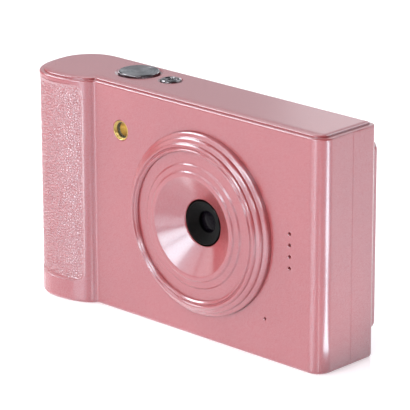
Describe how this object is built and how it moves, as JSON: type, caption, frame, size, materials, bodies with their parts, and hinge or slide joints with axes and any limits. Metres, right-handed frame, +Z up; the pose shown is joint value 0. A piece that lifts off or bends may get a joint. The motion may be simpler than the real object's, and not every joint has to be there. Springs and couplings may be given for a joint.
{
  "type": "compact digital camera",
  "caption": "Pocket digital camera with a bulged side grip, stepped lens bezel, rear display, pressable keys, a hinged battery door and a sliding memory card.",
  "frame": {"origin": "centre of the footprint, on the surface the camera stands on", "axes": "+X to the right in a front view, away from the grip; -Y out of the lens; +Z up"},
  "size_m": [0.1084, 0.0288, 0.0666],
  "materials": {
    "pink_paint": "glossy pearlescent pink paint over moulded plastic",
    "pink_grip": "leather-grain textured pink grip",
    "black_plastic": "black moulded plastic",
    "lens_glass": "coated optical glass",
    "clear_window": "clear flash window",
    "gold_reflector": "gold-toned metallised reflector",
    "led_yellow": "phosphor-coated LED",
    "circuit_board": "green circuit board",
    "steel": "plain bright steel",
    "silicone": "grey silicone",
    "display_glass": "black-bordered display window",
    "display_panel": "dark display panel",
    "battery_wrap": "dark wrapped cell",
    "chrome": "turned and polished chrome",
    "key_plastic": "satin grey key"
  },
  "bodies": {
    "camera_body": {"front_shell": "pink_paint", "rear_shell": "pink_paint", "top_cover": "pink_paint", "grip_pad": "pink_grip", "lens_ring": "pink_paint", "lens_cone": "pink_paint", "lens_barrel": "black_plastic", "front_lens": "lens_glass", "rear_lens": "lens_glass", "lens_holder": "black_plastic", "infrared_filter": "lens_glass", "image_sensor": "black_plastic", "sensor_board": "circuit_board", "flash_window": "clear_window", "flash_reflector": "gold_reflector", "flash_led": "led_yellow", "flash_board": "circuit_board", "speaker": "black_plastic", "microphone": "steel", "shutter_switch": "steel", "power_switch": "steel", "shutter_spring": "steel", "top_board": "circuit_board", "keypad_membrane": "silicone", "keypad_board": "circuit_board", "display_window": "display_glass", "display_panel": "display_panel", "display_frame": "steel", "main_board": "circuit_board", "processor": "black_plastic", "memory_chip": "black_plastic", "shield_can": "steel", "battery": "battery_wrap", "battery_holder": "black_plastic", "hinge_pin": "steel", "card_socket": "steel", "usb_socket": "steel", "tripod_bush": "steel", "case_screw_1": "steel", "case_screw_2": "steel", "case_screw_3": "steel"},
    "shutter_button": {"shutter_button": "chrome"},
    "power_button": {"power_button": "chrome"},
    "zoom_out_button": {"zoom_out_button": "key_plastic"},
    "zoom_in_button": {"zoom_in_button": "key_plastic"},
    "mode_button": {"mode_button": "key_plastic"},
    "playback_button": {"playback_button": "key_plastic"},
    "menu_button": {"menu_button": "key_plastic"},
    "delete_button": {"delete_button": "key_plastic"},
    "ok_button": {"ok_button": "key_plastic"},
    "up_button": {"up_button": "key_plastic"},
    "down_button": {"down_button": "key_plastic"},
    "left_button": {"left_button": "key_plastic"},
    "right_button": {"right_button": "key_plastic"},
    "battery_door": {"battery_door": "pink_paint"},
    "memory_card": {"memory_card": "black_plastic"}
  },
  "joints": [
    {"name": "shutter_press", "type": "slide", "parent": "camera_body", "child": "shutter_button", "axis": [0, 0, -1], "range_m": [0, 0.0006], "stiffness_N_per_m": 400, "springref_m": -0.0003, "deforming": ["shutter_spring"]},
    {"name": "power_press", "type": "slide", "parent": "camera_body", "child": "power_button", "axis": [0, 0, -1], "range_m": [0, 0.0006], "stiffness_N_per_m": 400, "springref_m": -0.0003},
    {"name": "zoom_out_press", "type": "slide", "parent": "camera_body", "child": "zoom_out_button", "axis": [0, -1, 0], "range_m": [0, 0.0005], "stiffness_N_per_m": 400, "springref_m": -0.0003},
    {"name": "zoom_in_press", "type": "slide", "parent": "camera_body", "child": "zoom_in_button", "axis": [0, -1, 0], "range_m": [0, 0.0005], "stiffness_N_per_m": 400, "springref_m": -0.0003},
    {"name": "mode_press", "type": "slide", "parent": "camera_body", "child": "mode_button", "axis": [0, -1, 0], "range_m": [0, 0.0005], "stiffness_N_per_m": 400, "springref_m": -0.0003},
    {"name": "playback_press", "type": "slide", "parent": "camera_body", "child": "playback_button", "axis": [0, -1, 0], "range_m": [0, 0.0005], "stiffness_N_per_m": 400, "springref_m": -0.0003},
    {"name": "menu_press", "type": "slide", "parent": "camera_body", "child": "menu_button", "axis": [0, -1, 0], "range_m": [0, 0.0005], "stiffness_N_per_m": 400, "springref_m": -0.0003},
    {"name": "delete_press", "type": "slide", "parent": "camera_body", "child": "delete_button", "axis": [0, -1, 0], "range_m": [0, 0.0005], "stiffness_N_per_m": 400, "springref_m": -0.0003},
    {"name": "ok_press", "type": "slide", "parent": "camera_body", "child": "ok_button", "axis": [0, -1, 0], "range_m": [0, 0.0005], "stiffness_N_per_m": 400, "springref_m": -0.0003},
    {"name": "up_press", "type": "slide", "parent": "camera_body", "child": "up_button", "axis": [0, -1, 0], "range_m": [0, 0.0005], "stiffness_N_per_m": 400, "springref_m": -0.0003},
    {"name": "down_press", "type": "slide", "parent": "camera_body", "child": "down_button", "axis": [0, -1, 0], "range_m": [0, 0.0005], "stiffness_N_per_m": 400, "springref_m": -0.0003},
    {"name": "left_press", "type": "slide", "parent": "camera_body", "child": "left_button", "axis": [0, -1, 0], "range_m": [0, 0.0005], "stiffness_N_per_m": 400, "springref_m": -0.0003},
    {"name": "right_press", "type": "slide", "parent": "camera_body", "child": "right_button", "axis": [0, -1, 0], "range_m": [0, 0.0005], "stiffness_N_per_m": 400, "springref_m": -0.0003},
    {"name": "battery_door_hinge", "type": "hinge", "parent": "camera_body", "child": "battery_door", "pos_m": [-0.03195, -0.00605, 0.00165], "axis": [-1, 0, 0], "range_deg": [0, 90]},
    {"name": "memory_card_slide", "type": "slide", "parent": "camera_body", "child": "memory_card", "axis": [0, 0, -1], "range_m": [0, 0.012]}
  ]
}
